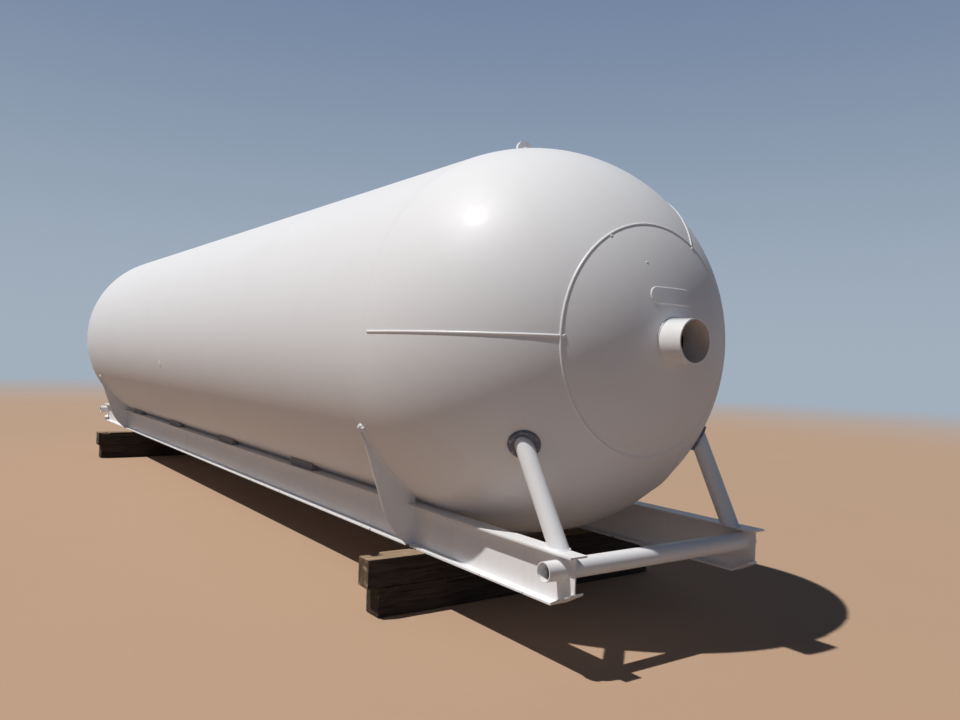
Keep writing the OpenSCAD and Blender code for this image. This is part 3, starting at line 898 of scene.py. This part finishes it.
def horn_welds():
    """Fillets of the near left horn, on the shell and on the rail's web and flanges, thick at its tip."""
    parts = []
    web_y = -WEB_Y - WEB_T / 2
    flange_y = -WEB_Y - FLANGE_W / 2
    low = RAIL_LOW_Z + FLANGE_T
    top = RAIL_TOP_Z - FLANGE_T
    fat_from = HORN_ANGLE - TIP_WELD_ANGLE
    middle_x = (horn_low.x + horn_high.x) / 2
    for x in (horn_low.x, horn_high.x):
        parts.append(shell_arc(x, HORN_START, fat_from, HORN_BEAD_R))
        tip_x = middle_x + (TIP_WRAP_R if x > middle_x else -TIP_WRAP_R)
        parts.append(shell_arc(tip_x, fat_from, HORN_ANGLE, TIP_BEAD_R))
        parts.append(bead_line(Vector((x, web_y, low + ROOT_R)), Vector((x, web_y, top - ROOT_R))))
        parts.append(bead_line(Vector((x, flange_y, low)), Vector((x, web_y - ROOT_R, low))))
        parts.append(bead_line(Vector((x, flange_y, RAIL_TOP_Z)), Vector((x, web_y, RAIL_TOP_Z))))
    tip_way = out_way(HORN_ANGLE)
    tip = Vector((middle_x, 0, AXIS_Z)) + tip_way * SHELL_R
    parts.append(bead_arc(tip + X * TIP_WRAP_R, tip, tip_way, -pi, TIP_BEAD_R))
    parts.append(nub(tip, tip_way, TIP_WRAP_R, 0.6))
    return parts


def nose_welds():
    """Fillets between the bent lower flange and the web, on both faces of the web."""
    parts = []
    lift = FLANGE_T * hypot(NOSE_RUN, NOSE_RISE) / NOSE_RUN
    for y in (-WEB_Y - WEB_T / 2, -WEB_Y + WEB_T / 2):
        bend = Vector((WEB_END_X - NOSE_RUN, y, RAIL_LOW_Z + FLANGE_T))
        tip = Vector((WEB_END_X, y, RAIL_LOW_Z + NOSE_RISE + lift))
        parts.append(bead_line(bend, tip))
    return parts


def pull_pipe_welds():
    """Fillets round the pull pipe on both faces of the left rail's web."""
    faces = [Vector((PULL_X, -WEB_Y + side * WEB_T / 2, PULL_Z)) for side in (-1, 1)]
    return [bead_ellipse(face, Y, Y, PIPE_R + FILLET_GAP) for face in faces]


def saddle_welds():
    """Fillets between the near saddle web, the shell and the rails' webs."""
    parts = []
    reach = asin(sqrt(SHELL_R ** 2 - (AXIS_Z - saddle_high.z) ** 2) / SHELL_R)
    for x in (saddle_low.x, saddle_high.x):
        parts.append(shell_arc(x, -reach, reach, HORN_BEAD_R))
        for y in (saddle_low.y, saddle_high.y):
            foot = Vector((x, y, saddle_low.z + ROOT_R))
            parts.append(bead_line(foot, Vector((x, y, saddle_high.z - ROOT_R))))
    return parts


FILLER_WELD_PITCH = 0.012


def filler_welds():
    """Fillets along the left rail's filler pads, against the rail and against the shell."""
    lines = []
    for y in (filler_low.y, filler_high.y):
        for z in (RAIL_TOP_Z, AXIS_Z - sqrt(SHELL_R ** 2 - y ** 2)):
            start = Vector((filler_low.x, y, z))
            lines.append(bead_line(start, start + X * FILLER_LEN, pitch=FILLER_WELD_PITCH))
    first = join(lines, "filler_weld")
    copies = [copied(first, X * (number * FILLER_PITCH)) for number in range(1, FILLER_COUNT)]
    return [first] + copies


def at_corners(first, what):
    """A piece of the near left corner and its mirrored copies at the other three."""
    return [first,
            mirrored(first, "near_right_" + what, across=-1),
            mirrored(first, "far_left_" + what, along=-1),
            mirrored(first, "far_right_" + what, along=-1, across=-1)]


foot_weld = bead_ellipse(STRUT_FOOT, Z, STRUT_WAY, PIPE_R + FILLET_GAP)
corner = join([foot_weld] + horn_welds() + nose_welds() + pull_pipe_welds(), "near_left_corner_welds")
saddle = join(saddle_welds(), "near_saddle_welds")
for piece in at_corners(corner, "corner_welds") + [saddle, mirrored(saddle, "far_saddle_welds", along=-1)]:
    finish(piece, WELD_WHITE)
# The fillets at the strut pads take the pads' painted shade
for piece in at_corners(pad_welds(), "pad_welds"):
    finish(piece, PAD_PAINTED_SHADE)
# The filler fillets take the pads' painted shade
fillers = join(filler_welds(), "left_filler_welds")
for piece in (fillers, mirrored(fillers, "right_filler_welds", across=-1)):
    finish(piece, FILLER_PAINTED_SHADE)


# Small marks on the vessel: patched spots, and a run of paint


# Patched spots: the way to each from its head's centre, and its radius
NEAR_SPOTS = [((1.187, -0.363, 0.613), 0.012),
              ((1.293, -0.164, 0.467), 0.008),
              ((1.369, 0.019, 0.201), 0.009)]
FAR_SPOTS = [((-0.200, -1.256, -0.509), 0.016),
             ((-0.554, -1.194, -0.427), 0.024),
             ((-0.480, -1.195, -0.505), 0.016)]
SPOT_SINK = 0.2

# Run of paint: its place, the angles that it runs between, its width and the broad drop at its end
RUN_X = NEAR_X - 5.265
RUN_ANGLES = (radians(84.0), radians(77.0))
RUN_R = 0.020
RUN_SINK = 0.0005
RUN_FLAT = 0.16
RUN_PITCH = 0.02
RUN_DROP_R = 0.040
RUN_DROP_FLAT = 0.14
RUN_DROP_ANGLE = 0.02
RUN_DROP_SHIFT = 0.030


def marks():
    parts = []
    for centre, spots in ((NEAR_CENTRE, NEAR_SPOTS), (FAR_CENTRE, FAR_SPOTS)):
        for way, radius in spots:
            normal = Vector(way).normalized()
            place = centre + normal * SHELL_R
            parts.append(nub(place - normal * radius * SPOT_SINK, normal, radius))
    return join(parts, "small_marks")


def paint_run():
    """Thick paint that ran down the shell and ended in a broad drop."""
    middle = Vector((RUN_X, 0, AXIS_Z))
    first, last = RUN_ANGLES
    start = middle + out_way(first) * (SHELL_R - RUN_SINK)
    run = bead_arc(start, middle, X, first - last, RUN_R, RUN_FLAT, RUN_PITCH)
    way = out_way(last - RUN_DROP_ANGLE)
    drop = nub(middle + way * SHELL_R - X * RUN_DROP_SHIFT, way, RUN_DROP_R, RUN_DROP_FLAT)
    return join([run, drop], "paint_run")


finish(marks(), WELD_WHITE)
# The run's lighter white is a painted highlight
finish(paint_run(), RUN_PAINTED_HIGHLIGHT)


# Timbers


TIMBER_INSET = 0.006
TIMBER_ROUND = 0.009
CUTS_ALONG = 126
CUTS_ACROSS = 8

# Knocks along a timber's edges: how many, their length and depth, and how far round the edge they reach
KNOCKS = 7
KNOCK_LEN = (0.02, 0.07)
KNOCK_DEPTH = (0.004, 0.010)
KNOCK_REACH = 0.012


def timber(name, seed):
    """Rough timber that stands for a plain one: worn edges, uneven faces and knocked corners."""
    low, high = box(name)
    size = high - low - Vector((TIMBER_INSET, TIMBER_INSET, TIMBER_INSET))
    half = size / 2
    middle = (low + high) / 2
    deselect()
    bpy.ops.mesh.primitive_cube_add(size=1, location=middle)
    piece = bpy.context.object
    piece.scale = size
    placed(name + "_rough")
    for way, cuts in ((Y, CUTS_ALONG), (X, CUTS_ACROSS), (Z, CUTS_ACROSS)):
        pick(piece, "edges", lambda number, edge: along_run(piece, edge, way))
        bpy.ops.mesh.subdivide(number_cuts=cuts)

    def on_edge(edge):
        """Whether an edge of the mesh lies on one of the twelve edges of the timber."""
        ends = [piece.data.vertices[number].co - middle for number in edge.vertices]
        faces = [all(abs(abs(end[axis]) - half[axis]) < 1e-4 for end in ends) for axis in range(3)]
        return sum(faces) >= 2

    pick(piece, "edges", lambda number, edge: on_edge(edge))
    bpy.ops.mesh.bevel(offset=TIMBER_ROUND, segments=2, affect="EDGES", profile=0.55)
    bpy.ops.object.mode_set(mode="OBJECT")
    draw = random.Random(seed)
    for _ in range(KNOCKS):
        place = draw.uniform(low.y, high.y)
        length = draw.uniform(*KNOCK_LEN)
        side = draw.choice((-1, 1))
        level = draw.choice((-1, 1))
        move = Vector((-side * draw.uniform(*KNOCK_DEPTH), 0, -level * draw.uniform(*KNOCK_DEPTH)))
        pick(piece, "vertices", lambda number, vert: abs(vert.co.y - place) < length
             and (vert.co.x - middle.x) * side > half.x - KNOCK_REACH
             and (vert.co.z - middle.z) * level > half.z - KNOCK_REACH)
        bpy.ops.transform.translate(value=move)
        bpy.ops.object.mode_set(mode="OBJECT")
    return piece


# Unevenness of the sawn faces, from slow waves to torn grain: its size and its depth
TIMBER_UNEVEN = [(0.30, 0.010), (0.045, 0.005), (0.016, 0.0022)]

# Split corner and notch: length and depth of the split, the notch's place along the timber and how deep its
# floor lies, and the shares that are left of the wood there
SPLIT_LEN = 0.170
SPLIT_DEPTH = 0.052
SPLIT_LEFT = 0.08
NOTCH = (0.095, 0.135)
NOTCH_FLOOR = 0.060
NOTCH_LEFT = 0.4


def split_end(piece):
    """Back corner of the near upper timber split off at its left end, with a notch at the split."""
    low, high = box("near_timber_upper")
    wall = low.x + SPLIT_DEPTH
    pick(piece, "vertices", lambda number, vert: vert.co.y < low.y + SPLIT_LEN and vert.co.x < wall)
    bpy.ops.transform.resize(value=(SPLIT_LEFT, 1, 1), center_override=(wall, 0, 0))
    floor_z = high.z - NOTCH_FLOOR
    pick(piece, "vertices", lambda number, vert: low.y + NOTCH[0] < vert.co.y < low.y + NOTCH[1]
         and vert.co.x < (low.x + high.x) / 2 and vert.co.z > floor_z)
    bpy.ops.transform.resize(value=(1, 1, NOTCH_LEFT), center_override=(0, 0, floor_z))
    bpy.ops.object.mode_set(mode="OBJECT")


# Seed of each timber's pattern, and how lit its cut ends are painted: below one, painted shade deepens them
TIMBERS = {"near_timber_upper": (1.0, 1.0), "near_timber_lower": (2.0, 0.3),
           "far_timber_upper": (3.0, 0.6), "far_timber_lower": (4.0, 0.4)}
for name, (seed, end_lit_share) in TIMBERS.items():
    piece = timber(name, seed)
    if name == "near_timber_upper":
        split_end(piece)
    for size, depth in TIMBER_UNEVEN:
        uneven(piece, name, size, depth)
    finish(piece, timber_wood(name + "_wood", seed, end_lit_share), angle=35)
    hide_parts(name)


# Studio: floor, backdrop, lamps and camera


# Colours of the backdrop, of the light from above and of the floor, which fades out between two distances
BACKDROP = (0.36, 0.43, 0.51)
BACKDROP_HIGH = (0.16, 0.225, 0.35)
SKY = (0.028, 0.038, 0.062)
FLOOR = (0.503, 0.337, 0.223)
FLOOR_DARK = 0.72
FLOOR_BOUNCE = (0.308, 0.218, 0.161)
FLOOR_NEAR = 13.0
FLOOR_FAR = 42.0
FLOOR_R = 45.0


def floor():
    """Round floor that fades into the backdrop far from the tank."""
    deselect()
    bpy.ops.mesh.primitive_circle_add(vertices=96, radius=FLOOR_R, fill_type="NGON")
    piece = placed("studio_floor")
    made, tree, shader, place = material("studio_floor")
    away = put(tree, "ShaderNodeVectorMath", {0: place}, operation="LENGTH").outputs["Value"]
    fade = span(tree, away, FLOOR_NEAR, FLOOR_FAR)
    clear = put(tree, "ShaderNodeBsdfTransparent")
    mixed = put(tree, "ShaderNodeMixShader", {0: fade, 1: shader.outputs["BSDF"], 2: clear.outputs["BSDF"]})
    ends = [node for node in tree.nodes if node.type == "OUTPUT_MATERIAL"]
    tree.links.new(mixed.outputs["Shader"], ends[0].inputs["Surface"])
    fine = noise(tree, place, 40.0, 6.0, 0.7)
    broad = noise(tree, place, 0.8, 3.0)
    shade = math(tree, "ADD", math(tree, "MULTIPLY", fine, 0.25), math(tree, "MULTIPLY", broad, 0.12))
    seen = blend(tree, shade, FLOOR, tuple(value * FLOOR_DARK for value in FLOOR))
    ray = put(tree, "ShaderNodeLightPath").outputs["Is Camera Ray"]
    wire(tree, shader, Base_Color=blend(tree, ray, FLOOR_BOUNCE, seen))
    shader.inputs["Roughness"].default_value = 0.9
    piece.data.materials.append(made)


def backdrop():
    """World that lights the tank softly and shows as a plain backdrop to the camera and in reflections."""
    world = bpy.data.worlds.new("studio")
    bpy.context.scene.world = world
    world.use_nodes = True
    tree = world.node_tree
    tree.nodes.clear()
    light = put(tree, "ShaderNodeBackground", values={"Color": (*SKY, 1)})
    way = split(tree, put(tree, "ShaderNodeTexCoord").outputs["Generated"])
    height = span(tree, way["Z"], 0.0, 0.5)
    shown = put(tree, "ShaderNodeBackground", {"Color": blend(tree, height, BACKDROP, BACKDROP_HIGH)})
    ray = put(tree, "ShaderNodeLightPath").outputs
    seen = math(tree, "MAXIMUM", ray["Is Camera Ray"], ray["Is Glossy Ray"])
    seen = math(tree, "MAXIMUM", seen, ray["Is Transmission Ray"])
    mixed = put(tree, "ShaderNodeMixShader", {0: seen, 1: light.outputs[0], 2: shown.outputs[0]})
    put(tree, "ShaderNodeOutputWorld", {"Surface": mixed.outputs["Shader"]})


# The sun and a broad low fill: the way to each, its strength, its width in degrees and its colour
LAMPS = {"studio_sun": (Vector((-0.138, -0.441, 0.887)), 3.5, 0.9, (1.0, 0.975, 0.94)),
         "studio_fill": (Vector((0.92, -0.38, 0.12)), 0.22, 80.0, (0.45, 0.72, 1.0))}
LAMP_AWAY = 12


def lamps():
    for name, (way, strength, width, colour) in LAMPS.items():
        turned = way.to_track_quat("Z", "Y").to_euler()
        bpy.ops.object.light_add(type="SUN", location=way * LAMP_AWAY, rotation=turned)
        lamp = bpy.context.object
        lamp.name = name
        lamp.data.energy = strength
        lamp.data.angle = radians(width)
        lamp.data.color = colour


# Camera: its place, its turn and its roll in degrees, and its lens in millimetres
CAMERA_PLACE = (NEAR_X + 4.667, -3.741, 1.731)
CAMERA_TURN = 54.8
CAMERA_ROLL = 2.086
CAMERA_LENS = 30.195


def camera():
    turned = Matrix.Rotation(radians(CAMERA_TURN), 3, "Z") @ Matrix.Rotation(radians(90), 3, "X")
    turned = turned @ Matrix.Rotation(radians(CAMERA_ROLL), 3, "Z")
    bpy.ops.object.camera_add(location=CAMERA_PLACE, rotation=turned.to_euler())
    eye = bpy.context.object
    eye.data.lens = CAMERA_LENS
    eye.data.sensor_width = 36.0
    bpy.context.scene.camera = eye


deselect()
floor()
backdrop()
lamps()
camera()
bpy.context.scene.view_settings.view_transform = "Standard"
